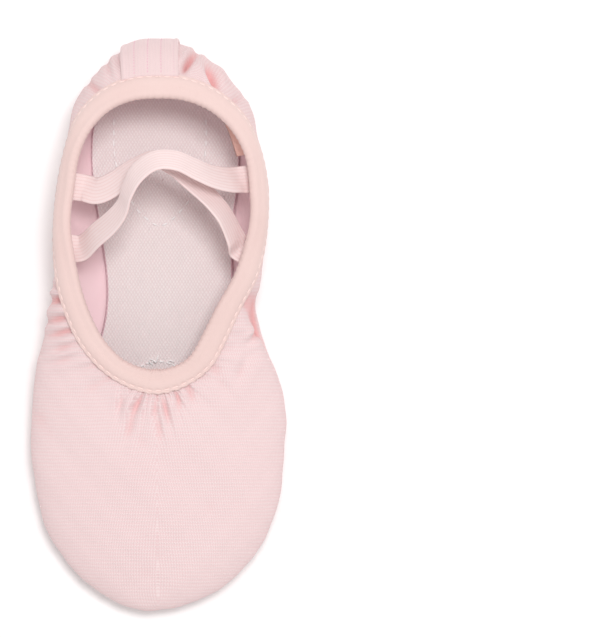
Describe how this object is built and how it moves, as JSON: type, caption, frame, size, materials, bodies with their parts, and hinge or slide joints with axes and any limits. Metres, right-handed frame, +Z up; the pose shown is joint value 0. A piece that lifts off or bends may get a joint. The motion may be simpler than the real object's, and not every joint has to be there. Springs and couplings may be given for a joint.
{
  "type": "ballet slipper",
  "caption": "Soft canvas ballet slipper with a split suede sole, an elastic bound opening and crossed elastic straps over the instep.",
  "frame": {"origin": "on the floor under the middle of the slipper", "axes": "+Z up, +Y towards the heel, the toe points to -Y, +X to the wearer's left"},
  "size_m": [0.0892, 0.2, 0.0571],
  "materials": {
    "canvas": "matte ribbed cotton canvas",
    "lining": "smooth thin lining cloth",
    "tape": "soft knitted binding tape",
    "webbing": "ribbed elastic webbing",
    "elastic": "round braided elastic",
    "suede": "napped suede",
    "insole_cloth": "small waffle weave",
    "foam": "thin foam padding"
  },
  "bodies": {
    "forefoot": {"upper_front": "canvas", "lining_front": "lining", "binding_front": "tape", "outsole_forefoot": "suede", "cushion_forefoot": "foam", "sole_panel": "canvas", "insole_cover": "insole_cloth", "binding_elastic": "elastic", "upper_waist_left": "canvas", "upper_waist_right": "canvas", "lining_waist_left": "lining", "lining_waist_right": "lining", "binding_waist_left": "tape", "binding_waist_right": "tape"},
    "heel": {"upper_quarter_left": "canvas", "upper_quarter_right": "canvas", "lining_heel": "lining", "binding_heel": "tape", "heel_strip": "canvas", "outsole_heel": "suede", "cushion_heel": "foam", "binding_tail": "tape", "strap_over_end_left": "webbing", "strap_over_end_right": "webbing", "strap_under_end_left": "webbing", "strap_under_end_right": "webbing"},
    "straps": {"strap_over": "webbing", "strap_under": "webbing"}
  },
  "joints": [
    {"name": "arch_fold", "type": "hinge", "parent": "forefoot", "child": "heel", "pos_m": [0, 0.0082, 0.0022], "axis": [1, 0, 0], "range_deg": [0, 45], "deforming": ["upper_waist_left", "upper_waist_right", "lining_waist_left", "lining_waist_right", "binding_waist_left", "binding_waist_right", "sole_panel", "insole_cover", "binding_elastic"]},
    {"name": "strap_swing", "type": "hinge", "parent": "heel", "child": "straps", "pos_m": [0, 0.037, 0.029], "axis": [1, 0, 0], "range_deg": [-30, 40], "stiffness_Nm_per_rad": 0.01}
  ]
}
